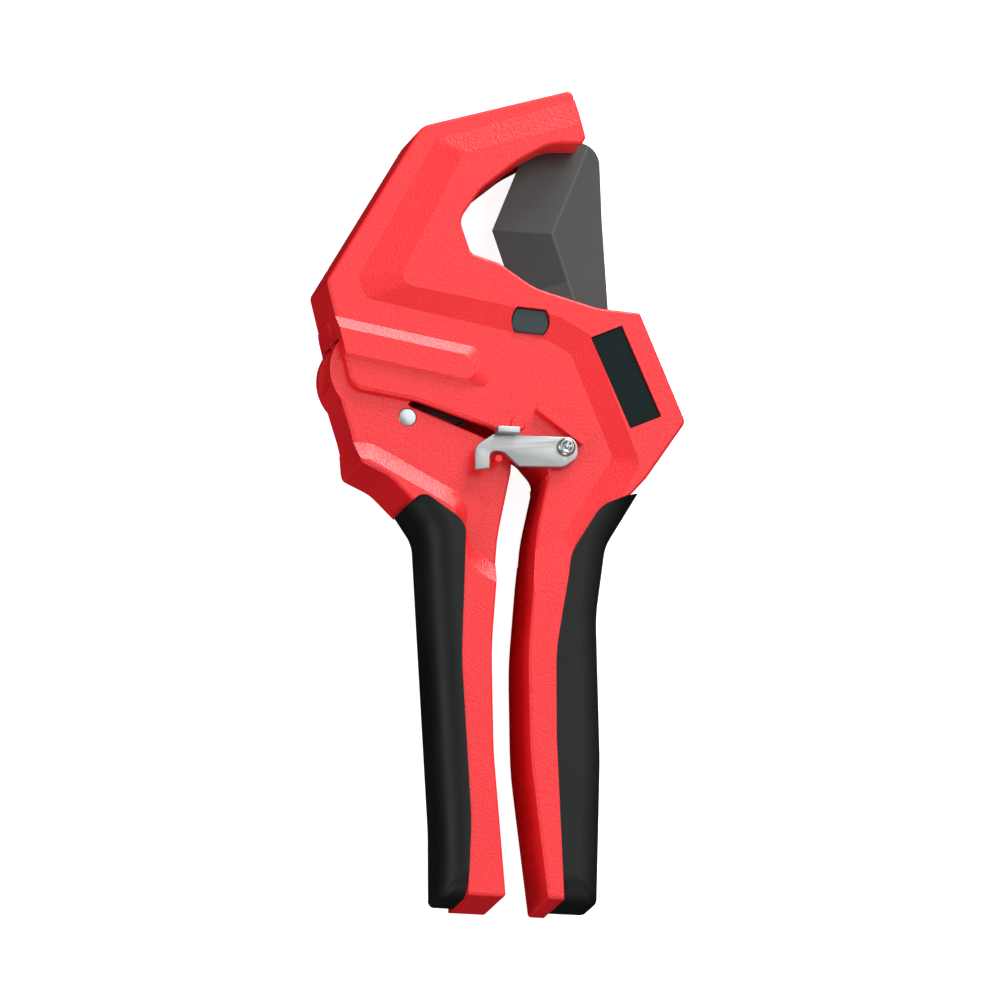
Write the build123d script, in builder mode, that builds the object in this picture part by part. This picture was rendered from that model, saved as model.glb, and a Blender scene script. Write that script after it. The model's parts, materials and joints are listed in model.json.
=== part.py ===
"""Ratcheting plastic-pipe cutter: two casing halves with a fixed handle, a moving handle, a ratchet blade.

Lengths are millimetres. While it is built, the blade pivot stands at X = 0, Y = 0, the tool lies on its
rear face at Z = 0, +Y points to the hook and +X to the open side of the jaw. Before the pieces are written
they are all shifted together, so that the origin is the middle of the footprint.
"""
from build123d import *
from math import cos, radians, sin
import os

# ---- driving dimensions -------------------------------------------------------------------------
HANDLE_LENGTH = 166.6      # blade pivot to the end of the handles
THICKNESS = 26.0           # over the raised plateau round the jaw
FRAME_STEP = 1.7           # how far the flat border of the casing lies below the plateau
RIB_HEIGHT = 1.4           # raised rib over the handle hinge
SKIN = 2.0                 # casing wall over the hinge cheeks
EDGE_ROUND = 0.9           # rounding of the casing's outer edges
BLADE_THICKNESS = 3.2
EDGE_LAND = 0.2            # thickness left at the cutting edge
BEVEL_WIDTH = 16.0         # how far the ground bevel reaches back from the edge
BLADE_CLOSE = 24.0         # degrees the blade still turns to finish a cut
BLADE_OPEN = -80.0         # degrees the blade turns back to let the largest pipe in
PIVOT_D = 8.0              # round shank of the blade pivot bolt
PIVOT_HEAD_D = 10.8        # its head, with two flats, keyed in the front casing
PIVOT_HEAD_FLATS = 7.1
PIVOT_HEAD_TURN = -3.4
PIVOT_HEAD_SINK = 0.9      # its face lies this far below the plateau
PIVOT_HEAD_CHAMFER = 0.4
WASHER_T = 0.4
WASHER_D = 14.0
TOOTH_RADIUS = 22.2        # tips of the ratchet teeth round the pivot
TOOTH_DEPTH = 1.6
TOOTH_PITCH = 8.0          # degrees
TOOTH_COUNT = 15
FIRST_TOOTH = -132.0       # degrees, the tooth face furthest back
HINGE = (-44.0, -16.0)     # handle hinge
HINGE_PIN_D = 5.0
CHEEK_RADIUS = 13.2        # round back of the handle's hinge cheeks
CHEEK_THICKNESS = 3.5
LUG_RADIUS = 9.0           # hinge lug of the casing, between the cheeks
LUG_THICKNESS = 5.0
PAWL_PIN = (-34.8, -29.1)  # drive pawl pin, in the handle's cheeks
PAWL_PIN_D = 5.2
PAWL_HUB = 4.6             # radius of both pawls round their pins
HOLD_PIN = (20.0, -31.0)   # holding pawl pin, in the casing
HOLD_PIN_D = 4.0
HOLD_PIN_LENGTH = 16.0
HINGE_PIN_SEAT = 1.1       # how far the hinge pin reaches into each casing wall
PAWL_LIFT = 0.35           # the pawls lie this far clear of the tooth tips
LATCH_PIN = (9.9, -36.5)
LATCH_PIN_D = 3.2
LATCH_HEAD_D = 5.2
LATCH_HEAD_H = 1.3
LATCH_HEAD_ROUND = 1.1
LATCH_THICKNESS = 1.8
LATCH_TAB = (-7.2, -32.9)  # bent-up thumb tab
LATCH_TAB_LENGTH = 6.4
LATCH_TAB_H = 4.6
LATCH_WASHER_D = 6.0
LATCH_WASHER_T = 0.8
POST = (-9.7, -40.9)       # catch post on the moving handle
POST_D = 2.0
POST_PROUD = 0.6           # above the latch
GRIP_THICKNESS = 3.0       # soft grip over the handle's core
GRIP_ROUND = 7.5
HOLLOW_HALF = 6.0          # half the depth of the hollow in each handle
SCREW_SOCKET_D = 2.6       # six-sided socket, across its corners
SCREW_SOCKET_DEPTH = 1.2
SCREW_HEAD_D = 5.0
SCREW_HEAD_H = 2.0
SCREW_NECK_D = 3.0         # shank under the head
PLATE_SIZE = (9.7, 28.0)   # blank name plate
PLATE_CENTRE = (27.5, -14.9)
PLATE_TURN = 23.8
PLATE_T = 0.8
PLATE_ROUND = 0.2

PLATE_SINK = 0.5           # its face lies this far below the plateau
NUT_AF = 12.0              # across the flats
NUT_H = 3.2
NUT_FLOOR = 0.6
BUMP = (-3.5, -29.8)       # small raised dot over the latch
BUMP_D = 4.6
BUMP_H = 0.6
RIDGE_CENTRE = (8.9, -29.5)    # stop bar beside the latch's rivet
RIDGE_SIZE = (16.5, 2.7)
RIDGE_TURN = -36.0
RIDGE_H = 2.2
DRIVE_TOOTH = 3            # the tooth that each pawl lies behind at rest
HOLD_TOOTH = 5
SPRING_RADIUS = 8.4        # blade return spring, wound round the pivot
SPRING_WIRE = 0.9
SPRING_TURNS = 2.5
HANDLE_SPRING_WIRE = 0.8
HANDLE_SPRING_TURNS = 2
COIL_PITCH = 1.1           # pitch of both coils, in wire thicknesses
LEAF_WIDTH = 2.0
LEAF_THICKNESS = 0.5
LEAF_BEND = 6.0
PAD_CORNER = 3.0           # soft corners of the plateau's slope
RIB_CORNER = 2.5
SLOPE_RUN = 5.5            # width of the slope up to the moving handle's thick part

# ---- clearances ---------------------------------------------------------------------------------
SIDE_GAP = 0.2             # flat faces that slide past each other
RUN_FIT = 0.05             # radial, pins in bores
FREE_GAP = 0.5             # round moving outlines
SLOT_GAP = 1.0             # round the blade where it leaves the casing
YOKE_GAP = 0.8             # between the hinge lug and the yoke round it
PIN_END_GAP = 0.1
SEAT_GAP = 0.1             # parts that are laid into a recess
SPRING_SEAT = 0.3          # below a coil
COIL_ROOM = 0.6            # between a coil and the pin that it is wound round

# ---- levels worked out from them ----------------------------------------------------------------
SEAM = THICKNESS / 2
FRAME = THICKNESS - FRAME_STEP               # flat border of the casing, front
POCKET_TOP = FRAME - SKIN                    # ceiling over the hinge cheeks
CHEEK_TOP = POCKET_TOP - 0.3
CHEEK_FLOOR = CHEEK_TOP - CHEEK_THICKNESS
HANDLE_TOP = THICKNESS - 0.3                 # thick lower part of the moving handle
SLOT_TOP = SEAM + BLADE_THICKNESS / 2 + SIDE_GAP
LATCH_FLOOR = FRAME + LATCH_WASHER_T
LATCH_TOP = LATCH_FLOOR + LATCH_THICKNESS
RIVET_FOOT = FRAME - 3.8
PIN_TOP = POCKET_TOP + HINGE_PIN_SEAT
PIVOT_HEAD_FLOOR = SLOT_TOP + WASHER_T
BOLT_END = NUT_FLOOR + 0.3
CASING_SCREW_FLOOR = FRAME_STEP + 0.3
HANDLE_SCREW_FLOOR = THICKNESS - HANDLE_TOP + 0.2
SCREW_TOP = SEAM + 7.0
END = -HANDLE_LENGTH
FAR = 90.0                                   # beyond every outline

# ---- outlines: x, y and corner radius, anticlockwise ---------------------------------------------
HEAD_AND_HANDLE = [
    (12.3, 68.2, 1.5), (-31.3, 55.2, 6), (-58.7, 8.7, 2.5), (-51.2, -21.9, 5), (-33, -24.4, 30),
    (-10.7, -31.3, 40), (1.0, -37.0, 5), (5.8, -42.5, 5), (2.0, -60, 60), (-0.8, END * 0.57, 120),
    (-0.3, END * 0.75, 120), (4.9, END, 1), (14.5, END, 1), (14.0, END * 0.72, 60),
    (14.2, END * 0.51, 40), (19, -60, 20), (33.5, -43.7, 4), (44.8, -27.0, 2.5), (31.6, 4.0, 0.8),
    (19.5, 4.7, 14), (1.0, 9.6, 20), (-9.0, 16.2, 6), (-17.3, 18.6, 2.5), (-20.6, 28.2, 5),
    (-14.5, 37.2, 12), (-3.5, 46.3, 25), (6.0, 51.8, 12), (14.9, 52.2, 0.8), (16.0, 54.2, 1.0)]
PLATEAU_FOOT = [
    (24, 69), (-27.2, 51.3), (-49.5, 10.2), (-47.6, 4.2), (5.1, -5.1), (11.8, -8.8), (24.0, -38),
    (9, -62), (-20, -78), (-20, -FAR * 2), (FAR, -FAR * 2), (FAR, 69)]
PLATEAU_TOP = [
    (24, 61.0), (-19.5, 47.6), (-37.4, 11.4), (-36.0, 8.3), (8.0, 1.6), (17.5, -3.5), (31.5, -40),
    (15, -70), (-20, -92), (-20, -FAR * 2), (FAR, -FAR * 2), (FAR, 61.0)]
RIB_FOOT = [(-62, -0.6), (-15.5, -8.3), (-10.1, -20.5), (-62, -11.8)]
RIB_TOP = [(-62, -3.8), (-18.7, -11.0), (-13.6, -18.8), (-62, -10.8)]

FIXED_GRIP_SIDE = [
    (36, -41.0, 0), (22.9, END * 0.378, 14), (20.2, END * 0.5, 50), (21.3, END * 0.75, 120),
    (20.3, END, 1.5)]
FIXED_GRIP_SPLIT = [
    (33.4, -46.6, 0.5), (20.4, -52.4, 9), (12.0, -66, 16), (7.2, END * 0.57, 60),
    (7.3, END * 0.72, 60), (9.5, END - 1, 0), (FAR, END - 1, 0), (FAR, -46.6, 0)]
MOVING_GRIP_SIDE = [
    (-25.3, END, 1.5), (-25.4, END * 0.87, 100), (-28.9, END * 0.51, 60), (-30.2, -62, 10),
    (-40, -47.5, 0)]
MOVING_GRIP_SPLIT = [
    (-35.6, -55.2, 0.5), (-FAR, -55.2, 0), (-FAR, END - 1, 0), (-18.1, END - 1, 0),
    (-17.2, END * 0.87, 80), (-20.0, END * 0.59, 80), (-18.7, -59.5, 6), (-31.0, -51.2, 3)]
MOVING_HANDLE = [
    (-56.6, -16.0, 1), (-54.8, -22.5, 10), (-51.2, -34, 30), (-48.9, -43.6, 2), (-41.0, -47.2, 12),
    (-31.5, -56.5, 12), (-24.8, -66, 20), (-24.8, END * 0.54, 60), (-22.3, END, 1), (-7.1, END, 1),
    (-10.6, END * 0.75, 120), (-11.2, END * 0.57, 120), (-8.7, -62, 60), (-4.9, -43.5, 8),
    (-4.4, -37.5, 3), (-13.0, -33.4, 20), (-34.0, -25.7, 3), (-40.0, -16.0, 1)]
THICK_ZONE = [
    (-FAR, -37.2, 0), (-45, -37.2, 8), (-15.5, -52.5, 7), (-17.6, -66.0, 12), (8, -80, 6),
    (8, -FAR * 2, 0), (-FAR, -FAR * 2, 0)]
YOKE = [
    (-FAR, -20.8, 0), (-52.3, -20.8, 1), (-50.0, -28.0, 3), (-30, -37.5, 4), (-12, -41.5, 3),
    (8, -41.5, 0), (8, 8, 0), (-FAR, 8, 0)]
HINGE_POCKET = [
    (-FAR, END / 2, 0), (-FAR, -22.0, 0), (-31.5, -13.5, 2), (-26, -21.5, 3), (-5, -28.0, 6),
    (-0.5, -35.5, 3), (-4.5, END / 2, 0)]
PAWL_POCKET = [
    (-41, -37, 2), (-41, -21, 3), (-26, -17, 3), (-16, -15, 1), (20, -15, 1), (26.5, -29, 5),
    (22, -37, 5), (8, -34.5, 4), (-6, -30, 3), (-22, -37, 1)]
FIXED_HOLLOW = [
    (6.5, END * 0.41, 2), (14.2, END * 0.42, 2), (13.0, END * 0.51, 10), (13.6, END * 0.82, 2),
    (4.0, END * 0.82, 2), (3.0, END * 0.57, 20)]
MOVING_HOLLOW = [
    (-23.0, END * 0.43, 2), (-14.0, END * 0.43, 2), (-14.2, END * 0.63, 10), (-13.4, END * 0.82, 2),
    (-20.6, END * 0.82, 2), (-23.2, END * 0.63, 10)]
BLADE_PLATE = [
    (-8.3, 28.8, 0.4), (-2.4, 11.6, 3), (-9.8, 3.5, 3), (-9.0, -8, 3), (12, -9, 2), (20.6, -3.6, 3),
    (25.0, 6.0, 3), (23.2, 33.0, 30), (22.3, 55.6, 6.5), (2.4, 55.4, 1)]
V_TIP = (-8.3, 28.8)
LATCH_PLATE = [
    (13.0, -33.5, 2.9), (-11.2, -33.9, 1.4), (-16.4, -37.5, 3.5), (-16.2, -44.3, 0.3),
    (-12.2, -43.7, 0.3), (-12.1, -38.6, 1.8), (-8.0, -38.8, 1.5), (-3.6, -42.7, 1.5),
    (9.5, -42.2, 4.5), (13.4, -39.0, 2.5)]
LUG_WEB = [(-52.4, -13.0), (-56.8, -1.5), (-36, 0), (-35.3, -13.5)]
UPPER_EDGE_ANGLE = 68.1     # directions of the two cutting edges from the V
LOWER_EDGE_ANGLE = -71.1
LOWER_BEVEL_LENGTH = 20.2

CASING_SCREWS = [(-31, 45), (-47, 15), (-28, 3), (34, -31), (8.3, -57), (5.6, END * 0.9)]
HANDLE_SCREWS = [(-41.5, -39.5), (-13.8, -63), (-12.6, END * 0.9)]


def outline(corners):
    """A closed face from corners with their radii."""
    with BuildLine() as path:
        FilletPolyline(*[(x, y) for x, y, r in corners], radius=[r for x, y, r in corners], close=True)
    make_face(path.edges())


def block(corners, low, high):
    """An outline pulled up between two levels."""
    with BuildPart() as body:
        with BuildSketch(Plane.XY.offset(low)):
            outline(corners)
        extrude(amount=high - low)
    return body.part


def rounded_block(corners, low, high, edge):
    """The same, with its front and rear edges rounded."""
    with BuildPart() as body:
        add(block(corners, low, high))
        fillet(body.faces().sort_by(Axis.Z)[-1].edges() + body.faces().sort_by(Axis.Z)[0].edges(), edge)
    return body.part


def round_bar(centre, diameter, low, high):
    """A round bar or hole along Z."""
    with BuildPart() as body:
        with BuildSketch(Plane.XY.offset(low)):
            with Locations(centre):
                Circle(diameter / 2)
        extrude(amount=high - low)
    return body.part


def sloped_pad(foot, top, low, high, root, corner):
    """A raised area with sloping sides from its foot outline to its smaller top, on a straight root."""
    soft_foot = [(x, y, corner) for x, y in foot]
    with BuildPart() as pad:
        add(block(soft_foot, root, low))
        with BuildSketch(Plane.XY.offset(low)):
            outline(soft_foot)
        with BuildSketch(Plane.XY.offset(high)):
            outline([(x, y, corner) for x, y in top])
        loft(ruled=True)
    return pad.part


def both_sides(part):
    """The part and its mirror image about the seam."""
    with BuildPart() as pair:
        add(part)
        mirror(about=Plane.XY.offset(SEAM))
    return pair.part


def turned(point, angle):
    """A point turned about the blade pivot."""
    a = radians(angle)
    return (point[0] * cos(a) - point[1] * sin(a), point[0] * sin(a) + point[1] * cos(a))


def polar(radius, angle):
    return (radius * cos(radians(angle)), radius * sin(radians(angle)))


def grip_blank(side, inner_x):
    """The full rounded body of a handle, from its gripping side to a line well inside it."""
    with BuildPart() as blank:
        corners = side + [(inner_x, side[-1][1], 0), (inner_x, side[0][1], 0)]
        add(block(corners, 0, THICKNESS))
        ends = [blank.faces().sort_by(Axis.Z)[0], blank.faces().sort_by(Axis.Z)[-1]]
        outer = [e for face in ends for e in face.edges()
                 if abs(e.center().X - inner_x) > 14 and abs(e.tangent_at(0.5).Y) > 0.3]
        fillet(outer, GRIP_ROUND)
    return blank.part


def grip_core(side, inner_x):
    """The handle's own plastic under the grip."""
    corners = side + [(inner_x, side[-1][1], 0), (inner_x, side[0][1], 0)]
    with BuildPart() as core:
        with BuildSketch(Plane.XY.offset(GRIP_THICKNESS)):
            outline(corners)
            offset(amount=-GRIP_THICKNESS)
        extrude(amount=THICKNESS - 2 * GRIP_THICKNESS)
    return core.part


def screws(places, low, high):
    """Countersunk screws from the rear: one solid for each place."""
    with BuildPart() as group:
        with BuildSketch(Plane.XY.offset(low)):
            with Locations(*places):
                Circle(SCREW_HEAD_D / 2)
                RegularPolygon(SCREW_SOCKET_D / 2, 6, mode=Mode.SUBTRACT)
        extrude(amount=SCREW_HEAD_H)
        with BuildSketch(Plane.XY.offset(low + SCREW_SOCKET_DEPTH)):
            with Locations(*places):
                Circle(SCREW_NECK_D / 2)
        extrude(amount=high - low - SCREW_SOCKET_DEPTH)
    return group.part


def screw_holes(places, low, high):
    """The room the screws take in the plastic."""
    with BuildPart() as holes:
        with BuildSketch(Plane.XY.offset(low - SCREW_HEAD_H)):
            with Locations(*places):
                Circle(SCREW_HEAD_D / 2 + SEAT_GAP)
        extrude(amount=2 * SCREW_HEAD_H)
        with BuildSketch(Plane.XY.offset(low)):
            with Locations(*places):
                Circle(SCREW_NECK_D / 2 + SEAT_GAP)
        extrude(amount=high - low + SEAT_GAP)
    return holes.part


# ---- blade --------------------------------------------------------------------------------------
def bevel_wedge(angle, start, stop, side):
    """What grinding takes away along one cutting edge; side is -1 where the steel lies to the right."""
    along = Vector(cos(radians(angle)), sin(radians(angle)), 0)
    inward = Vector(-along.Y, along.X, 0) * side
    grind = (BLADE_THICKNESS - EDGE_LAND) / 2
    face = SEAM + BLADE_THICKNESS / 2
    slope = grind / BEVEL_WIDTH
    origin = Vector(V_TIP[0], V_TIP[1], face) + along * start
    plane = Plane(origin=origin, x_dir=inward, z_dir=along)
    rise = 1 if plane.y_dir.Z > 0 else -1
    with BuildPart() as wedge:
        with BuildSketch(plane):
            with BuildLine():
                Polyline((BEVEL_WIDTH + 1, rise * slope), (-6, rise * slope),
                         (-6, -rise * slope * (BEVEL_WIDTH + 6)), close=True)
            make_face()
        extrude(amount=stop - start)
    return wedge.part


def tooth_sector():
    """The ratchet sector: every tooth has a radial face on its clockwise side."""
    points = [(0, 0)]
    for i in range(TOOTH_COUNT):
        angle = FIRST_TOOTH + i * TOOTH_PITCH
        points += [polar(TOOTH_RADIUS - TOOTH_DEPTH, angle), polar(TOOTH_RADIUS, angle)]
    points.append(polar(TOOTH_RADIUS - TOOTH_DEPTH, FIRST_TOOTH + TOOTH_COUNT * TOOTH_PITCH))
    with BuildLine() as path:
        Polyline(*points, close=True)
    make_face(path.edges())


def blade_outline(angle, grow):
    """The blade's plate turned about the pivot, made larger by a gap."""
    with BuildPart() as plate:
        with BuildSketch(Plane.XY.offset(2 * SEAM - SLOT_TOP)):
            outline([(*turned((x, y), angle), r) for x, y, r in BLADE_PLATE])
            offset(amount=grow)
        extrude(amount=2 * (SLOT_TOP - SEAM))
    return plate.part


with BuildPart() as blade:
    with BuildSketch(Plane.XY.offset(SEAM - BLADE_THICKNESS / 2)):
        outline(BLADE_PLATE)
        tooth_sector()
        Circle(TOOTH_RADIUS - 2 * TOOTH_DEPTH - 4)
        Circle(PIVOT_D / 2 + RUN_FIT, mode=Mode.SUBTRACT)
    extrude(amount=BLADE_THICKNESS)
    for wedge in (bevel_wedge(UPPER_EDGE_ANGLE, -9, 40, -1),
                  bevel_wedge(LOWER_EDGE_ANGLE, -14, LOWER_BEVEL_LENGTH, 1)):
        add(both_sides(wedge), mode=Mode.SUBTRACT)

# ---- casing -------------------------------------------------------------------------------------
with BuildPart() as blade_slot:
    reach = max((x * x + y * y) ** 0.5 for x, y, r in BLADE_PLATE)
    with BuildSketch(Plane.XY.offset(2 * SEAM - SLOT_TOP)):
        Circle(TOOTH_RADIUS + FREE_GAP)
        with BuildLine():
            tips = [polar(reach + FREE_GAP, a) for a in (112, 55, -8)]
            ThreePointArc(*tips)
            Polyline(tips[2], (0, 0), tips[0])
        make_face()
        outline(PAWL_POCKET)
    extrude(amount=2 * (SLOT_TOP - SEAM))
    add(blade_outline(BLADE_CLOSE, SLOT_GAP))
    add(blade_outline(BLADE_OPEN, SLOT_GAP))

with BuildPart() as casing_sculpt:
    add(sloped_pad(PLATEAU_FOOT, PLATEAU_TOP, FRAME, THICKNESS, SEAM, PAD_CORNER))
    add(sloped_pad(RIB_FOOT, RIB_TOP, FRAME, FRAME + RIB_HEIGHT, SEAM, RIB_CORNER))
    mirror(about=Plane.XY.offset(SEAM))
    add(rounded_block(HEAD_AND_HANDLE, 0, THICKNESS, EDGE_ROUND), mode=Mode.INTERSECT)

fixed_blank = grip_blank(FIXED_GRIP_SIDE, 0)
fixed_core = grip_core(FIXED_GRIP_SIDE, 2)
fixed_region = block(FIXED_GRIP_SPLIT, -1, THICKNESS + 1)

with BuildPart() as hinge_room:
    add(block(HINGE_POCKET, 2 * SEAM - POCKET_TOP, POCKET_TOP))
    add(round_bar(HINGE, 2 * (CHEEK_RADIUS + FREE_GAP), 2 * SEAM - POCKET_TOP, POCKET_TOP))

with BuildPart() as casing:
    add(rounded_block(HEAD_AND_HANDLE, 2 * SEAM - FRAME, FRAME, EDGE_ROUND))
    add(casing_sculpt.part)
    with BuildSketch(Plane.XY):
        outline(FIXED_GRIP_SPLIT)
    extrude(amount=THICKNESS, mode=Mode.SUBTRACT)
    add(fixed_core)
    add(block(FIXED_HOLLOW, SEAM - HOLLOW_HALF, SEAM + HOLLOW_HALF), mode=Mode.SUBTRACT)
    add(hinge_room.part, mode=Mode.SUBTRACT)
    with BuildSketch(Plane.XY.offset(SEAM - LUG_THICKNESS / 2)):
        with Locations(HINGE):
            Circle(LUG_RADIUS)
        with BuildLine():
            Polyline(*LUG_WEB, close=True)
        make_face()
    extrude(amount=LUG_THICKNESS)
    add(round_bar(HINGE, HINGE_PIN_D + 2 * RUN_FIT, 2 * SEAM - PIN_TOP - PIN_END_GAP, PIN_TOP + PIN_END_GAP),
        mode=Mode.SUBTRACT)
    add(blade_slot.part, mode=Mode.SUBTRACT)
    add(round_bar((0, 0), WASHER_D + 2 * SEAT_GAP, 2 * SEAM - SLOT_TOP - WASHER_T, SLOT_TOP + WASHER_T),
        mode=Mode.SUBTRACT)
    add(round_bar(HOLD_PIN, HOLD_PIN_D + 2 * RUN_FIT, SEAM - HOLD_PIN_LENGTH / 2,
                  SEAM + HOLD_PIN_LENGTH / 2), mode=Mode.SUBTRACT)
    add(screw_holes(CASING_SCREWS, CASING_SCREW_FLOOR, SCREW_TOP), mode=Mode.SUBTRACT)


def double_d(width, flats, turn):
    """The bolt head's outline: a round with two flats."""
    with BuildSketch() as shape:
        Circle(width / 2)
        Rectangle(width, flats, mode=Mode.INTERSECT)
    add(shape.sketch.rotate(Axis.Z, turn))


with BuildPart() as front_casing:
    add(casing.part)
    split(bisect_by=Plane.XY.offset(SEAM), keep=Keep.TOP)
    with BuildSketch(Plane.XY.offset(SLOT_TOP)):
        Circle(SPRING_RADIUS + SPRING_WIRE)
        Circle(SPRING_RADIUS - SPRING_WIRE, mode=Mode.SUBTRACT)
    extrude(amount=SPRING_WIRE * COIL_PITCH * (SPRING_TURNS + 1) + 2 * SPRING_SEAT, mode=Mode.SUBTRACT)
    with BuildSketch(Plane.XY.offset(PIVOT_HEAD_FLOOR)):
        double_d(PIVOT_HEAD_D + 2 * SEAT_GAP, PIVOT_HEAD_FLATS + 2 * SEAT_GAP, PIVOT_HEAD_TURN)
    extrude(amount=THICKNESS, mode=Mode.SUBTRACT)
    with BuildSketch(Plane.XY.offset(THICKNESS - PLATE_SINK - PLATE_T)):
        with Locations(Location(PLATE_CENTRE, PLATE_TURN)):
            Rectangle(PLATE_SIZE[0] + 2 * SEAT_GAP, PLATE_SIZE[1] + 2 * SEAT_GAP)
    extrude(amount=3, mode=Mode.SUBTRACT)
    add(round_bar(LATCH_PIN, LATCH_PIN_D + 2 * RUN_FIT, RIVET_FOOT, THICKNESS), mode=Mode.SUBTRACT)
    with BuildSketch(Plane.XY.offset(FRAME)):
        with Locations(Location(RIDGE_CENTRE, RIDGE_TURN)):
            RectangleRounded(*RIDGE_SIZE, 0.6)
    extrude(amount=RIDGE_H)
    with BuildSketch(Plane.XY.offset(FRAME)):
        with Locations(BUMP):
            Circle(BUMP_D / 2)
    extrude(amount=BUMP_H, taper=35)

with BuildPart() as rear_casing:
    add(casing.part)
    split(bisect_by=Plane.XY.offset(SEAM), keep=Keep.BOTTOM)
    add(round_bar((0, 0), PIVOT_D + 2 * RUN_FIT, 0, SEAM), mode=Mode.SUBTRACT)
    with BuildSketch():
        RegularPolygon(NUT_AF / 2 + SEAT_GAP, 6, major_radius=False)
    extrude(amount=NUT_FLOOR + NUT_H, mode=Mode.SUBTRACT)

with BuildPart() as fixed_grip:
    add(fixed_blank)
    add(fixed_region, mode=Mode.INTERSECT)
    add(fixed_core, mode=Mode.SUBTRACT)

# ---- pieces fastened in the casing ----------------------------------------------------------------
with BuildPart() as blade_pivot_bolt:
    with BuildSketch(Plane.XY.offset(PIVOT_HEAD_FLOOR)):
        double_d(PIVOT_HEAD_D, PIVOT_HEAD_FLATS, PIVOT_HEAD_TURN)
    extrude(amount=THICKNESS - PIVOT_HEAD_SINK - PIVOT_HEAD_FLOOR)
    chamfer(blade_pivot_bolt.faces().sort_by(Axis.Z)[-1].edges(), PIVOT_HEAD_CHAMFER)
    with BuildSketch(Plane.XY.offset(BOLT_END)):
        Circle(PIVOT_D / 2)
    extrude(amount=PIVOT_HEAD_FLOOR - BOLT_END)

with BuildPart() as blade_pivot_nut:
    with BuildSketch(Plane.XY.offset(NUT_FLOOR)):
        RegularPolygon(NUT_AF / 2, 6, major_radius=False)
        Circle(PIVOT_D / 2 + RUN_FIT, mode=Mode.SUBTRACT)
    extrude(amount=NUT_H)

with BuildPart() as blade_washers:
    with BuildSketch(Plane.XY.offset(SLOT_TOP), Plane.XY.offset(2 * SEAM - SLOT_TOP - WASHER_T)):
        Circle(WASHER_D / 2)
        Circle(PIVOT_D / 2 + RUN_FIT, mode=Mode.SUBTRACT)
    extrude(amount=WASHER_T)

with BuildPart() as handle_pivot_pin:
    add(round_bar(HINGE, HINGE_PIN_D, 2 * SEAM - PIN_TOP, PIN_TOP))

with BuildPart() as holding_pawl_pin:
    add(round_bar(HOLD_PIN, HOLD_PIN_D, SEAM - HOLD_PIN_LENGTH / 2, SEAM + HOLD_PIN_LENGTH / 2))

with BuildPart() as casing_screws:
    add(screws(CASING_SCREWS, CASING_SCREW_FLOOR, SCREW_TOP))

with BuildPart() as name_plate:
    with BuildSketch(Plane.XY.offset(THICKNESS - PLATE_SINK - PLATE_T)):
        with Locations(Location(PLATE_CENTRE, PLATE_TURN)):
            Rectangle(*PLATE_SIZE)
    extrude(amount=PLATE_T)
    fillet(name_plate.faces().sort_by(Axis.Z)[-1].edges(), PLATE_ROUND)

with BuildPart() as latch_rivet:
    with BuildSketch(Plane.XY.offset(RIVET_FOOT)):
        with Locations(LATCH_PIN):
            Circle(LATCH_PIN_D / 2)
    extrude(amount=LATCH_TOP + PIN_END_GAP - RIVET_FOOT)
    with BuildSketch(Plane.XY.offset(LATCH_TOP + PIN_END_GAP)):
        with Locations(LATCH_PIN):
            Circle(LATCH_HEAD_D / 2)
    extrude(amount=LATCH_HEAD_H)
    fillet(latch_rivet.faces().sort_by(Axis.Z)[-1].edges(), LATCH_HEAD_ROUND)

with BuildPart() as latch_spring_washer:
    with BuildSketch(Plane.XY.offset(FRAME)):
        with Locations(LATCH_PIN):
            Circle(LATCH_WASHER_D / 2)
            Circle(LATCH_PIN_D / 2 + RUN_FIT, mode=Mode.SUBTRACT)
    extrude(amount=LATCH_WASHER_T - PIN_END_GAP)

# ---- moving handle --------------------------------------------------------------------------------
moving_core = grip_core(MOVING_GRIP_SIDE, -11)
moving_blank = grip_blank(MOVING_GRIP_SIDE, -2)
moving_region = block(MOVING_GRIP_SPLIT, -1, THICKNESS + 1)

with BuildPart() as thick_zone:
    with BuildSketch(Plane.XY.offset(SEAM)):
        outline(THICK_ZONE)
    extrude(amount=HANDLE_TOP - SEAM)
    thick_face = thick_zone.faces().sort_by(Axis.Z)[-1]
    chamfer(thick_face.edges(), SLOPE_RUN, HANDLE_TOP - CHEEK_TOP, reference=thick_face)
    mirror(about=Plane.XY.offset(SEAM))
    add(rounded_block(MOVING_HANDLE, 2 * SEAM - HANDLE_TOP, HANDLE_TOP, EDGE_ROUND), mode=Mode.INTERSECT)

with BuildPart() as handle:
    add(rounded_block(MOVING_HANDLE, 2 * SEAM - CHEEK_TOP, CHEEK_TOP, EDGE_ROUND))
    add(round_bar(HINGE, 2 * CHEEK_RADIUS, 2 * SEAM - CHEEK_TOP, CHEEK_TOP))
    add(thick_zone.part)
    add(moving_region, mode=Mode.SUBTRACT)
    add(moving_core)
    add(block(MOVING_HOLLOW, SEAM - HOLLOW_HALF, SEAM + HOLLOW_HALF), mode=Mode.SUBTRACT)
    add(block(YOKE, 2 * SEAM - CHEEK_FLOOR, CHEEK_FLOOR), mode=Mode.SUBTRACT)
    add(round_bar(HINGE, 2 * (LUG_RADIUS + YOKE_GAP), 2 * SEAM - CHEEK_FLOOR, CHEEK_FLOOR),
        mode=Mode.SUBTRACT)
    add(round_bar(HINGE, HINGE_PIN_D + 2 * RUN_FIT, 0, THICKNESS), mode=Mode.SUBTRACT)
    add(round_bar(PAWL_PIN, PAWL_PIN_D + 2 * RUN_FIT, 0, THICKNESS), mode=Mode.SUBTRACT)
    add(screw_holes(HANDLE_SCREWS, HANDLE_SCREW_FLOOR, SCREW_TOP), mode=Mode.SUBTRACT)

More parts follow.
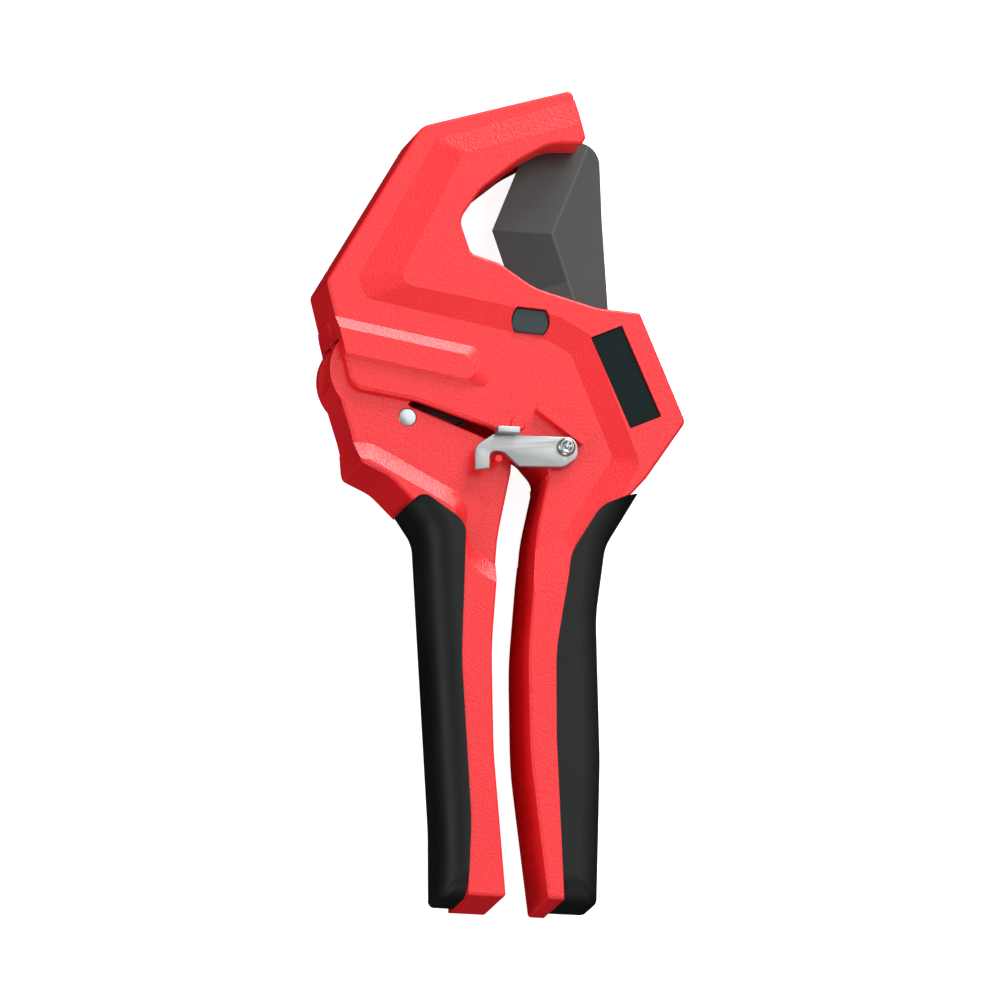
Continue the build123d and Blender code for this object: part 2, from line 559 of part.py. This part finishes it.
with BuildPart() as moving_handle_front:
    add(handle.part)
    split(bisect_by=Plane.XY.offset(SEAM), keep=Keep.TOP)
    add(round_bar(POST, POST_D, CHEEK_FLOOR, LATCH_TOP + POST_PROUD))

with BuildPart() as moving_handle_rear:
    add(handle.part)
    split(bisect_by=Plane.XY.offset(SEAM), keep=Keep.BOTTOM)

with BuildPart() as moving_grip:
    add(moving_blank)
    add(moving_region, mode=Mode.INTERSECT)
    add(moving_core, mode=Mode.SUBTRACT)

with BuildPart() as handle_screws:
    add(screws(HANDLE_SCREWS, HANDLE_SCREW_FLOOR, SCREW_TOP))

with BuildPart() as drive_pawl_pin:
    add(round_bar(PAWL_PIN, PAWL_PIN_D, 2 * SEAM - CHEEK_TOP, CHEEK_TOP))

# ---- pawls and springs ----------------------------------------------------------------------------
def tooth_corner(index, lift):
    """The tip of one tooth, or a point lifted off it."""
    return polar(TOOTH_RADIUS + lift, FIRST_TOOTH + index * TOOTH_PITCH)


drive_nose = tooth_corner(DRIVE_TOOTH, PAWL_LIFT)
hold_nose = tooth_corner(HOLD_TOOTH, PAWL_LIFT)


def pawl(body_points, pin, pin_d):
    """A pawl plate: a hub round its pin and a finger to its nose."""
    with BuildPart() as plate:
        with BuildSketch(Plane.XY.offset(SEAM - BLADE_THICKNESS / 2)):
            with BuildLine() as path:
                Polyline(*body_points, close=True)
            make_face(path.edges())
            with Locations(pin):
                Circle(PAWL_HUB)
                Circle(pin_d / 2 + RUN_FIT, mode=Mode.SUBTRACT)
        extrude(amount=BLADE_THICKNESS)
    return plate.part


with BuildPart() as drive_pawl:
    nose = Vector(*drive_nose)
    add(pawl([(nose.X - 0.3, nose.Y), (nose.X - 3.2, nose.Y + 0.4), (PAWL_PIN[0] + 1, PAWL_PIN[1] + 4.4),
              (PAWL_PIN[0], PAWL_PIN[1]), (PAWL_PIN[0] + 2, PAWL_PIN[1] - 4), (nose.X - 4, nose.Y - 4.2),
              (nose.X - 0.8, nose.Y - 2.2)], PAWL_PIN, PAWL_PIN_D))

with BuildPart() as holding_pawl:
    nose = Vector(*hold_nose)
    add(pawl([(nose.X - 0.9, nose.Y), (nose.X - 2.6, nose.Y - 1.4), (nose.X - 3.0, nose.Y - 3.6),
              (HOLD_PIN[0] - 1, HOLD_PIN[1] - 4.4), HOLD_PIN, (HOLD_PIN[0], HOLD_PIN[1] + 4.4),
              (nose.X + 4.0, nose.Y - 2.1), (nose.X - 0.2, nose.Y - 2.1)], HOLD_PIN, HOLD_PIN_D))

with BuildPart() as latch_lever:
    with BuildSketch(Plane.XY.offset(LATCH_FLOOR)):
        outline(LATCH_PLATE)
        with Locations(LATCH_PIN):
            Circle(LATCH_PIN_D / 2 + RUN_FIT, mode=Mode.SUBTRACT)
    extrude(amount=LATCH_THICKNESS)
    with BuildSketch(Plane.XY.offset(LATCH_FLOOR)):
        with Locations(LATCH_TAB):
            RectangleRounded(LATCH_TAB_LENGTH, LATCH_THICKNESS, EDGE_ROUND / 3)
    extrude(amount=LATCH_TAB_H)


def leaf_spring(points):
    """A bent strip of spring steel that lies in the plane of the pawls."""
    with BuildPart() as leaf:
        with BuildLine(Plane.XY.offset(SEAM - LEAF_WIDTH / 2)):
            path = FilletPolyline(*points, radius=LEAF_BEND)
        with BuildSketch(Plane(origin=path @ 0, z_dir=path % 0, x_dir=(0, 0, 1))):
            with Locations((LEAF_WIDTH / 2, 0)):
                Rectangle(LEAF_WIDTH, LEAF_THICKNESS)
        sweep(path=path)
    return leaf.part


with BuildPart() as holding_pawl_spring:
    add(leaf_spring([(16.5, -35.5), (9, -33.4), (2.5, -29.4)]))

with BuildPart() as drive_pawl_spring:
    add(leaf_spring([(-36.2, -34.0), (-26, -33.6), (-16, -27.6)]))


def torsion_spring(centre, mean_radius, wire, turns, floor):
    """A close coil round a pin."""
    with BuildPart() as spring:
        with BuildLine(Plane.XY.offset(floor + wire / 2)):
            coil = Helix(wire * COIL_PITCH, wire * COIL_PITCH * turns, mean_radius)
        with BuildSketch(Plane(origin=coil @ 0, z_dir=coil % 0)):
            Circle(wire / 2)
        sweep(path=coil)
    return spring.part.moved(Location((centre[0], centre[1], 0)))


with BuildPart() as handle_return_spring:
    add(torsion_spring(HINGE, (HINGE_PIN_D + HANDLE_SPRING_WIRE) / 2 + COIL_ROOM, HANDLE_SPRING_WIRE,
                       HANDLE_SPRING_TURNS, SEAM + LUG_THICKNESS / 2 + SPRING_SEAT))

with BuildPart() as blade_return_spring:
    add(torsion_spring((0, 0), SPRING_RADIUS, SPRING_WIRE, SPRING_TURNS, SLOT_TOP + SPRING_SEAT))

# ---- the finished pieces, shifted together and written ----------------------------------------------
PIECES = {
    "front_casing": front_casing, "rear_casing": rear_casing, "fixed_grip": fixed_grip,
    "blade_pivot_bolt": blade_pivot_bolt, "blade_pivot_nut": blade_pivot_nut,
    "blade_washers": blade_washers, "handle_pivot_pin": handle_pivot_pin,
    "holding_pawl_pin": holding_pawl_pin, "casing_screws": casing_screws, "name_plate": name_plate,
    "latch_rivet": latch_rivet, "latch_spring_washer": latch_spring_washer,
    "holding_pawl_spring": holding_pawl_spring, "blade_return_spring": blade_return_spring,
    "blade": blade, "moving_handle_front": moving_handle_front,
    "moving_handle_rear": moving_handle_rear, "moving_grip": moving_grip,
    "handle_screws": handle_screws, "drive_pawl_pin": drive_pawl_pin,
    "drive_pawl_spring": drive_pawl_spring, "handle_return_spring": handle_return_spring,
    "drive_pawl": drive_pawl, "holding_pawl": holding_pawl, "latch_lever": latch_lever}
whole = Compound(children=[Compound(p.part.wrapped) for p in PIECES.values()]).bounding_box()
SHIFT = Location((-(whole.min.X + whole.max.X) / 2, -(whole.min.Y + whole.max.Y) / 2, -whole.min.Z))
os.makedirs("parts", exist_ok=True)
for name, piece in PIECES.items():
    piece.part.label = name
    piece.part.locate(SHIFT)
    export_step(piece.part, f"parts/{name}.step")
print("shift", SHIFT.position, "size", whole.size)
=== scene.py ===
# %% [markdown]
# # A ratcheting pipe cutter
# The tool is two red moulded shells with a hooked jaw, a dark V-shaped blade that swings through the jaw,
# a moving handle, soft grips, and a small bright latch that holds the handles shut.
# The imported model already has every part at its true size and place, so this lesson mostly makes finishes:
# each part gets a material built from nodes. Only three small parts are modelled again, where a stamped or
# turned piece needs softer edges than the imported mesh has: the latch, its rivet and the drive pawl's pin.

# %% Load the frame
import json
import math
import bmesh
import bpy
from mathutils import Matrix, Vector


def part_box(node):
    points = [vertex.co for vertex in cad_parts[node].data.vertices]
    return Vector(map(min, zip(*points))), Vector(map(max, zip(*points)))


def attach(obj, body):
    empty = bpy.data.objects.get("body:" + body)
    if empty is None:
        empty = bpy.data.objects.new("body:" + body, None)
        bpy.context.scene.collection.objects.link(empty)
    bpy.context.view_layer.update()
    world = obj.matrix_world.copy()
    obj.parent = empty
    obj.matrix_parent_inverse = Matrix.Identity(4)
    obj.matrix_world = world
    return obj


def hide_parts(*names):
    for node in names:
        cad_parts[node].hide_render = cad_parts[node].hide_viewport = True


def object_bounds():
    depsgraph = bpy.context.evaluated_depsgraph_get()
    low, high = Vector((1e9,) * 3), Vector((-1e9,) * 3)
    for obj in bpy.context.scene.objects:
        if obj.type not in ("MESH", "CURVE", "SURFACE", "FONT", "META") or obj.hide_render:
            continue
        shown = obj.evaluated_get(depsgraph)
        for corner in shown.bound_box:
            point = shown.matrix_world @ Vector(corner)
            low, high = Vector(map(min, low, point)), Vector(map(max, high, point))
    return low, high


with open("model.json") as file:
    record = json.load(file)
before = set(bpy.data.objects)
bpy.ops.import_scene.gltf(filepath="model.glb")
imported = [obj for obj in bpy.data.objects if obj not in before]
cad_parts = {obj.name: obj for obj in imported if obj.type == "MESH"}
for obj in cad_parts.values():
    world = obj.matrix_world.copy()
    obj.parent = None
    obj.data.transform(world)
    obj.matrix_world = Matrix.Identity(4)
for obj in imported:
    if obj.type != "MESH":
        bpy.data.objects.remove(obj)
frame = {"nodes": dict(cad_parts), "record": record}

cad_box = [list(corner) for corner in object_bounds()]
size = [high - low for low, high in zip(*cad_box)]
print("tool, metres:", [round(s, 4) for s in size])

# %% [markdown]
# ## The camera
# The tool lies on its rear face. The camera looks down on the front face from a little to the left and from
# the handle end. It stands far off with a long lens, so the long handles keep their true proportions.

# %% Set up the camera
CAMERA_DISTANCE = 6.0
FRAME_WIDTH = 0.282
SENSOR_WIDTH = 36.0   # millimetres, as the lens is
FAR_LIMIT = 20.0

middle = Vector([(low + high) / 2 for low, high in zip(*cad_box)])
aim = middle + Vector((0.0013, 0.0, -0.0024))
view_direction = Vector((-0.2204, -0.2334, 0.9471)).normalized()
picture_up = Vector((-0.0529, 0.9724, 0.2274))

camera_data = bpy.data.cameras.new("camera")
camera_data.sensor_width = SENSOR_WIDTH
camera_data.lens = SENSOR_WIDTH * CAMERA_DISTANCE / FRAME_WIDTH
camera_data.clip_end = FAR_LIMIT
camera = bpy.data.objects.new("camera", camera_data)
picture_right = picture_up.cross(view_direction).normalized()
picture_up = view_direction.cross(picture_right)
turned = Matrix((picture_right, picture_up, view_direction)).transposed().to_4x4()
camera.matrix_world = Matrix.Translation(aim + view_direction * CAMERA_DISTANCE) @ turned
bpy.context.collection.objects.link(camera)
bpy.context.scene.camera = camera
print("lens, mm:", round(camera_data.lens))

# %% [markdown]
# ## Four soft boxes
# A red moulding needs broad, soft light: small lamps would leave hard white spots on it. The strongest box
# stands beyond the hook and grazes the slopes that face it, which brings out the moulded grain. The widest
# one, overhead, gives the flat faces their sheen. The one on the left keeps the side walls readable, and
# the one low beyond the handles lights the end faces.

# %% Light the tool
def soft_box(name, place, width, height, power):
    """A rectangular area light that points at the tool."""
    light = bpy.data.lights.new(name, "AREA")
    light.shape = "RECTANGLE"
    light.size, light.size_y, light.energy = width, height, power
    lamp = bpy.data.objects.new(name, light)
    lamp.location = Vector(place)
    lamp.rotation_euler = (Vector(place) - middle).to_track_quat("Z", "Y").to_euler()
    bpy.context.collection.objects.link(lamp)
    print(name, "watts:", power)


soft_box("box_beyond_hook", (0.62, 1.50, 0.55), width=0.9, height=0.95, power=32.0)
soft_box("box_overhead", (0.72, 0.80, 1.80), width=1.2, height=1.4, power=10.0)
soft_box("box_left", (-1.62, 0.0, 0.78), width=1.0, height=1.0, power=10.0)
soft_box("box_near_handles", (-0.30, -1.70, 0.60), width=0.9, height=0.8, power=9.0)

# %% [markdown]
# ## A dim room
# The room is black below the horizon and grey above, so walls that face away from the boxes keep a deep,
# clean red. The plain view transform keeps the red as bright as it is painted.

# %% Shade the room
ROOM_STRENGTH = 0.45
BLACK_BELOW, BRIGHT_ABOVE = 0.0, 0.35   # 0 is the horizon and 1 is straight up

world = bpy.data.worlds.new("dim_room")
world.use_nodes = True
room = world.node_tree
sky = room.nodes["Background"]
sky.inputs["Strength"].default_value = ROOM_STRENGTH
direction = room.nodes.new("ShaderNodeTexCoord")
upward = room.nodes.new("ShaderNodeSeparateXYZ")
shade = room.nodes.new("ShaderNodeValToRGB")
black, white = shade.color_ramp.elements
black.position, black.color = BLACK_BELOW, (0.0, 0.0, 0.0, 1.0)
white.position, white.color = BRIGHT_ABOVE, (1.0, 1.0, 1.0, 1.0)
room.links.new(direction.outputs["Generated"], upward.inputs["Vector"])
room.links.new(upward.outputs["Z"], shade.inputs["Fac"])
room.links.new(shade.outputs["Color"], sky.inputs["Color"])
bpy.context.scene.world = world
bpy.context.scene.view_settings.view_transform = "Standard"
print("room strength:", ROOM_STRENGTH)

# %% [markdown]
# ## The light table
# The tool lies on a light table: a white sheet that glows a little, so that it stays white all round the
# tool. The sheet is kept out of the tool's own diffuse and glossy light, or it would wash out the side walls.

# %% Lay the sheet
FLOOR_SIDE = 12.0
FLOOR_GAP = 0.0004

floor_mesh = bmesh.new()
bmesh.ops.create_grid(floor_mesh, x_segments=1, y_segments=1, size=FLOOR_SIDE / 2)
bmesh.ops.translate(floor_mesh, verts=floor_mesh.verts, vec=(middle.x, middle.y, cad_box[0][2] - FLOOR_GAP))
floor_data = bpy.data.meshes.new("floor")
floor_mesh.to_mesh(floor_data)
floor_mesh.free()
floor = bpy.data.objects.new("floor", floor_data)
bpy.context.collection.objects.link(floor)
floor.visible_glossy = floor.visible_diffuse = False
print("sheet, metres across:", FLOOR_SIDE)

# %% [markdown]
# ## Shader maths in plain Python
# A node tree is arithmetic drawn as boxes. The small class below wraps one output socket and lets ordinary
# signs stand for Math nodes, so `1 - mask * 0.3` builds what it says.

# %% A socket that can be calculated with
class Wire:
    """One output socket; numbers and other wires can be added to it, multiplied and so on."""

    def __init__(self, finish, socket):
        self.finish, self.socket = finish, socket

    def __add__(self, other):
        return self.finish.maths("ADD", self, other)

    def __sub__(self, other):
        return self.finish.maths("SUBTRACT", self, other)

    def __mul__(self, other):
        return self.finish.maths("MULTIPLY", self, other)

    def __rsub__(self, other):
        return self.finish.maths("SUBTRACT", other, self)

    __radd__ = __add__
    __rmul__ = __mul__


print("signs that a wire knows: + - *")

# %% [markdown]
# ## A material that grows nodes
# Everything that has no sign, such as noise, mixes and bumps, comes from one method, which takes the node's
# type, its settings and its inputs. The short methods after it name the few nodes that every finish uses.
# What is the same all over a surface is set on the shader's own sockets when the finish is started.

# %% A finish
class Finish:
    """A material with its shader, and the means to add nodes to it."""

    def __init__(self, name, uniform=None):
        self.material = bpy.data.materials.new(name)
        self.material.use_nodes = True
        self.tree = self.material.node_tree
        self.shader = self.tree.nodes["Principled BSDF"]
        for socket, value in (uniform or {}).items():
            self.shader.inputs[socket].default_value = value

    def node(self, kind, settings=None, inputs=None):
        """Adds a node and returns its outputs by name."""
        new = self.tree.nodes.new(kind)
        for setting, value in (settings or {}).items():
            setattr(new, setting, value)
        for socket, value in (inputs or {}).items():
            if isinstance(value, Wire):
                self.tree.links.new(value.socket, new.inputs[socket])
            else:
                new.inputs[socket].default_value = value
        return {output.name: Wire(self, output) for output in new.outputs if output.enabled}

    def maths(self, operation, first, second):
        """One Math node on two values."""
        return self.node("ShaderNodeMath", {"operation": operation}, {0: first, 1: second})["Value"]

    def place(self, scale=(1, 1, 1), turn=(0, 0, 0)):
        """Object coordinates in metres, stretched or turned."""
        where = self.node("ShaderNodeTexCoord")["Object"]
        inputs = {"Vector": where, "Scale": scale, "Rotation": turn}
        return self.node("ShaderNodeMapping", {}, inputs)["Vector"]

    def noise(self, scale, detail=2.0, roughness=0.5, where=None):
        """Cloudy noise from 0 to 1; the scale is in waves per metre."""
        inputs = {"Vector": where or self.place(), "Scale": scale, "Detail": detail, "Roughness": roughness}
        return self.node("ShaderNodeTexNoise", {}, inputs)["Fac"]

    def band(self, wire, low, high, to_low=0.0, to_high=1.0):
        """Stretches the part of a value between two levels over a new range."""
        inputs = {"Value": wire, "From Min": low, "From Max": high, "To Min": to_low, "To Max": to_high}
        return self.node("ShaderNodeMapRange", {}, inputs)["Result"]

    def blend(self, factor, first, second):
        """Mixes two colours."""
        inputs = {0: factor, 6: first, 7: second}
        settings = {"data_type": "RGBA", "blend_type": "MIX"}
        return self.node("ShaderNodeMix", settings, inputs)["Result"]

    def bump(self, height, strength, depth):
        """Turns a height into a tilted normal."""
        inputs = {"Height": height, "Strength": strength, "Distance": depth}
        return self.node("ShaderNodeBump", {}, inputs)["Normal"]

    def drive(self, colour, roughness=None, normal=None):
        """Links wires to the shader and returns the material."""
        for socket, wire in {"Base Color": colour, "Roughness": roughness, "Normal": normal}.items():
            if wire:
                self.tree.links.new(wire.socket, self.shader.inputs[socket])
        return self.material


finishes = {}


def add_finish(slot, material):
    """Keeps a material under the name of the slot that it fills."""
    finishes[slot] = material
    print(slot, "nodes:", len(material.node_tree.nodes))


# %% [markdown]
# ## Colours given, light by numbers
# Paint colours are judged on a screen, from 0 to 255, but a shader adds up light, so each colour is
# changed into linear light before it is used.

# %% Change a painted colour into light
def paint(red, green, blue):
    """An sRGB colour from 0 to 255 as the linear colour that a shader takes."""
    def linear(level):
        c = level / 255
        return c / 12.92 if c <= 0.04045 else ((c + 0.055) / 1.055) ** 2.4
    return (linear(red), linear(green), linear(blue), 1.0)


print("red in linear light:", [round(c, 3) for c in paint(235, 30, 40)])

# %% [markdown]
# ## Red moulding with a spark-eroded grain
# The mould for the shells is eroded by sparks, which leaves a fine, even grain of tiny rounded pits about
# half a millimetre across. It is hardly seen in full light, but where light grazes a slope, each pit
# catches a highlight. Two patterns of slightly different size make the grain, a noise and a field of cells;
# a third, much wider noise lets colour and gloss wander a little, as they do in any moulding.

# %% Make the red moulding
def red_moulding():
    finish = Finish("red_moulding", {"IOR": 1.5})
    grain = finish.noise(2300.0, detail=1.0)
    pits = finish.node("ShaderNodeTexVoronoi", {"feature": "SMOOTH_F1"},
                       {"Vector": finish.place(), "Scale": 1500.0, "Smoothness": 0.6})["Distance"]
    drift = finish.noise(28.0)
    colour = finish.blend(finish.band(drift, 0.3, 0.7), paint(236, 26, 36), paint(244, 34, 42))
    return finish.drive(
        colour=finish.blend(finish.band(grain, 0.35, 0.75, 0.0, 0.35), colour, paint(252, 66, 66)),
        roughness=finish.band(drift + grain * 0.5, 0.4, 1.1, 0.31, 0.43),
        normal=finish.bump(grain * 0.6 + pits * 0.7, strength=0.38, depth=0.00025))


add_finish("casing_plastic", red_moulding())

# %% [markdown]
# ## Soft grip
# The grips are a satin rubber moulded over the handles. It has a very fine matt bloom and a faint
# teal cast, and light runs down its rounded side in one long soft streak, so its roughness is moderate.

# %% Make the grip rubber
def grip_rubber():
    finish = Finish("grip_rubber", {"IOR": 1.48, "Specular IOR Level": 0.22})
    bloom = finish.noise(900.0, detail=3.0)
    handling = finish.noise(35.0, detail=3.0)
    return finish.drive(
        colour=finish.blend(finish.band(handling, 0.3, 0.7), paint(20, 22, 22), paint(27, 29, 29)),
        roughness=finish.band(handling + bloom * 0.3, 0.4, 0.95, 0.40, 0.56),
        normal=finish.bump(bloom, strength=0.10, depth=0.0001))


add_finish("grip_rubber", grip_rubber())

# %% [markdown]
# ## Coated blade
# The blade is ground steel under a dark non-stick coating. The two cutting edges meet in a V, and each has
# a broad bevel. Light and shade on the bevels are painted into the colour: the upper bevel is painted lighter
# and the lower one darker than the flat behind them. The distance from each edge line tells which of the
# three a point lies on; where the bevels end, a painted highlight runs along the crease.

# %% Make the blade coating
V_TIP = (-0.00127, 0.07819)
INTO_UPPER = (0.928, -0.373)   # one unit straight into the blade from the upper edge
INTO_LOWER = (0.946, 0.324)
BEVEL_WIDTH = 0.016
# width of the painted highlight along the crease
CREASE_HIGHLIGHT_WIDTH = 0.0006
SHARP_STEP = 0.0001            # over this distance one tone gives way to the next


def blade_coating():
    finish = Finish("blade_coating", {"IOR": 1.6, "Metallic": 0.25})
    spot = finish.node("ShaderNodeSeparateXYZ", {}, {"Vector": finish.place()})
    along, up = spot["X"] - V_TIP[0], spot["Y"] - V_TIP[1]
    from_upper = along * INTO_UPPER[0] + up * INTO_UPPER[1]
    from_lower = along * INTO_LOWER[0] + up * INTO_LOWER[1]
    nearer = finish.maths("MINIMUM", from_upper, from_lower)
    flat = finish.band(nearer, BEVEL_WIDTH - SHARP_STEP, BEVEL_WIDTH + SHARP_STEP)
    lower = finish.band(from_upper - from_lower, -SHARP_STEP, SHARP_STEP)
    # painted highlight: a lighter line where the bevels meet the flat
    crease_highlight = finish.band(finish.maths("ABSOLUTE", nearer - BEVEL_WIDTH, 0.0), 0.0, CREASE_HIGHLIGHT_WIDTH, 0.5, 0.0)
    lines = finish.noise(320.0, detail=3.0, roughness=0.6,
                         where=finish.place(scale=(1.0, 9.0, 1.0), turn=(0, 0, 0.35)))
    fleck = finish.noise(3000.0, detail=1.0)
    cloud = finish.noise(45.0)
    # painted light and shade: upper bevel painted lighter, lower bevel darker, the flat keeps the coating's
    # tone
    lit_and_shaded_bevels = finish.blend(lower, paint(62, 61, 61), paint(31, 33, 33))
    tone = finish.blend(crease_highlight, finish.blend(flat, lit_and_shaded_bevels, paint(46, 48, 48)), paint(96, 98, 98))
    return finish.drive(
        colour=finish.blend(finish.band(cloud + lines * 0.4, 0.45, 0.95, 0.0, 0.25), tone, paint(84, 86, 86)),
        roughness=finish.band(lines + cloud * 0.4, 0.4, 1.0, 0.36, 0.5),
        normal=finish.bump(lines * 0.7 + fleck * 0.5, strength=0.10, depth=0.0001))


add_finish("blade_coating", blade_coating())

# %% [markdown]
# ## Steel, black and bright
# Bought-in steel parts come in a few finishes: black oxide on the bolt and screws, ground bright on pins
# and rivets, grey and tumbled on the pawls, drawn on the springs, and bright zinc plate on the latch.
# One function makes them all, because they differ only in colour, gloss and how much the grain shows.

# %% Make the metal finishes
def steel(name, dark, light, metallic, gloss, grain_scale, grain_strength):
    """A metal finish; gloss is the lowest and highest roughness."""
    finish = Finish(name, {"Metallic": metallic})
    grain = finish.noise(grain_scale, detail=3.0, roughness=0.6)
    stain = finish.noise(120.0, detail=3.0)
    return finish.drive(
        colour=finish.blend(finish.band(stain, 0.3, 0.7), dark, light),
        roughness=finish.band(stain + grain * 0.5, 0.45, 1.05, *gloss),
        normal=finish.bump(grain, grain_strength, depth=0.00005))


METALS = {   # dark tone, light tone, metallic, gloss, grain in waves per metre, strength of the grain
    "blackened_steel": (paint(40, 52, 53), paint(52, 64, 65), 0.5, (0.35, 0.5), 1500.0, 0.15),
    "bright_steel": (paint(164, 170, 171), paint(178, 184, 185), 1.0, (0.2, 0.32), 900.0, 0.05),
    "spring_steel": (paint(150, 152, 154), paint(186, 188, 190), 1.0, (0.22, 0.38), 2200.0, 0.1),
    "pawl_steel": (paint(112, 114, 117), paint(140, 142, 146), 1.0, (0.35, 0.5), 1400.0, 0.2),
    "latch_zinc": (paint(172, 175, 176), paint(180, 182, 182), 0.85, (0.34, 0.42), 600.0, 0.02),
}
for metal, recipe in METALS.items():
    add_finish(metal, steel(metal, *recipe))

# %% [markdown]
# ## The blank name plate
# The plate is a satin gloss label, left blank. Its gloss is even, apart from the smears that handling leaves.

# %% Make the name plate's black
def name_plate_black():
    finish = Finish("name_plate_black", {"IOR": 1.5, "Specular IOR Level": 0.06})
    smear = finish.noise(160.0, detail=3.0)
    fine = finish.noise(2600.0, detail=1.0)
    return finish.drive(
        colour=finish.blend(finish.band(smear, 0.3, 0.7), paint(18, 30, 30), paint(24, 36, 36)),
        roughness=finish.band(smear, 0.3, 0.7, 0.28, 0.4),
        normal=finish.bump(fine, strength=0.04, depth=0.0001))


add_finish("name_plate_black", name_plate_black())

# %% [markdown]
# ## Put the finishes on
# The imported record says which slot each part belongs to, so a part is never given a finish by hand.

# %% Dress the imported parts
slot_of = {part["node"]: part["material_slot"] for part in frame["record"]["subparts"]}
for node_name, part_object in frame["nodes"].items():
    part_object.data.materials.clear()
    part_object.data.materials.append(finishes[slot_of[node_name]])
print("finishes:", len(finishes), "on", len(frame["nodes"]), "packed parts")

# %% [markdown]
# ## Softer edges on the latch and the drive pawl's pin
# A stamped plate never has knife edges: tumbling and plating leave them rounded, and the rounding is what
# catches the light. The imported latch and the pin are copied, their flat faces are cleared of inner edges,
# and every sharp edge is bevelled by a few tenths of a millimetre. An outer edge loses a little material,
# and an inner corner gets a fillet as small. Each copy stands for the part that it was made from.

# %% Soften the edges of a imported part
SHARP = math.radians(40)
NEARLY_FLAT = math.radians(1)
SAME_CORNER = 1e-6        # metres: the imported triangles' corners that are this near are one
SAME_NEW_CORNER = 1e-7
BEVEL_STEPS = 3
SOFT_WIDTHS = {"latch_lever": 0.00022, "drive_pawl_pin": 0.0003}


def add_piece(name, mesh, node):
    """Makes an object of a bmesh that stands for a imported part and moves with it."""
    bmesh.ops.remove_doubles(mesh, verts=mesh.verts, dist=SAME_NEW_CORNER)
    bmesh.ops.recalc_face_normals(mesh, faces=mesh.faces)
    for face in mesh.faces:
        face.smooth = True
    data = bpy.data.meshes.new(name)
    mesh.to_mesh(data)
    mesh.free()
    data.set_sharp_from_angle(angle=SHARP)
    piece = bpy.data.objects.new(name, data)
    bpy.context.collection.objects.link(piece)
    data.materials.append(finishes[slot_of[node]])
    bodies = frame["record"]["behaviour"]["bodies"]
    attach(piece, next(body for body, members in bodies.items() if node in members))
    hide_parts(node)
    print(name, "faces:", len(data.polygons))


def soften(node, width):
    """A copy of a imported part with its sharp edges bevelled."""
    mesh = bmesh.new()
    mesh.from_mesh(frame["nodes"][node].data)
    bmesh.ops.remove_doubles(mesh, verts=mesh.verts, dist=SAME_CORNER)
    bmesh.ops.dissolve_limit(mesh, angle_limit=NEARLY_FLAT, verts=mesh.verts, edges=mesh.edges)
    sharp = [edge for edge in mesh.edges if edge.is_manifold and edge.calc_face_angle() > SHARP]
    bmesh.ops.bevel(mesh, geom=sharp, offset=width, segments=BEVEL_STEPS, profile=0.5, affect="EDGES",
                    material=-1)
    add_piece(node + "_soft", mesh, node)


for soft_node, soft_width in SOFT_WIDTHS.items():
    soften(soft_node, soft_width)

# %% [markdown]
# ## The latch's rivet
# The rivet is swaged over in its middle, which leaves a shallow dished ring round a small raised centre. It
# is turned from one profile, spun round the rivet's own axis. The profile starts at the foot of the shank
# inside the casing and ends in the centre of the head, so the piece is closed.

# %% Spin the rivet
SHANK_RADIUS = 0.0016
HEAD_HEIGHT = 0.0013
SPIN_STEPS = 64
HEAD_PROFILE = (   # share of the head's radius, share of its height
    (1.0, 0.2), (0.985, 0.42), (0.93, 0.66), (0.84, 0.86), (0.72, 0.98), (0.62, 1.0), (0.54, 0.94),
    (0.46, 0.72), (0.40, 0.56), (0.33, 0.52), (0.24, 0.60), (0.12, 0.66), (0.0, 0.68))

rivet_low, rivet_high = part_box("latch_rivet")
axis_x, axis_y = (rivet_low.x + rivet_high.x) / 2, (rivet_low.y + rivet_high.y) / 2
head_radius = (rivet_high.x - rivet_low.x) / 2
head_foot = rivet_high.z - HEAD_HEIGHT
profile = [(0.0, rivet_low.z), (SHANK_RADIUS, rivet_low.z)]
profile += [(SHANK_RADIUS, head_foot), (head_radius, head_foot)]
profile += [(head_radius * share, head_foot + HEAD_HEIGHT * rise) for share, rise in HEAD_PROFILE]

rivet = bmesh.new()
points = [rivet.verts.new((axis_x + radius, axis_y, level)) for radius, level in profile]
for first, second in zip(points, points[1:]):
    rivet.edges.new((first, second))
bmesh.ops.spin(rivet, geom=rivet.verts[:] + rivet.edges[:], cent=(axis_x, axis_y, 0), axis=(0, 0, 1),
               angle=math.tau, steps=SPIN_STEPS, use_merge=True)
add_piece("latch_rivet_swaged", rivet, "latch_rivet")
print("rivet head, mm across:", round(2000 * head_radius, 2))

# %% [markdown]
# ## The light table's sheet
# Opal acrylic: white, matt and almost even, with the faint mottle that any lit sheet shows.

# %% Make the sheet
SHEET_GLOW = 0.88
WHITE_LIGHT = (1.0, 1.0, 1.0, 1.0)

sheet = Finish("opal_sheet", {
    "Roughness": 0.9, "Emission Color": WHITE_LIGHT, "Emission Strength": SHEET_GLOW})
mottle = sheet.noise(3.0)
floor.data.materials.append(sheet.drive(sheet.blend(mottle, paint(250, 250, 250), paint(253, 253, 253))))
print("sheet glow:", SHEET_GLOW)
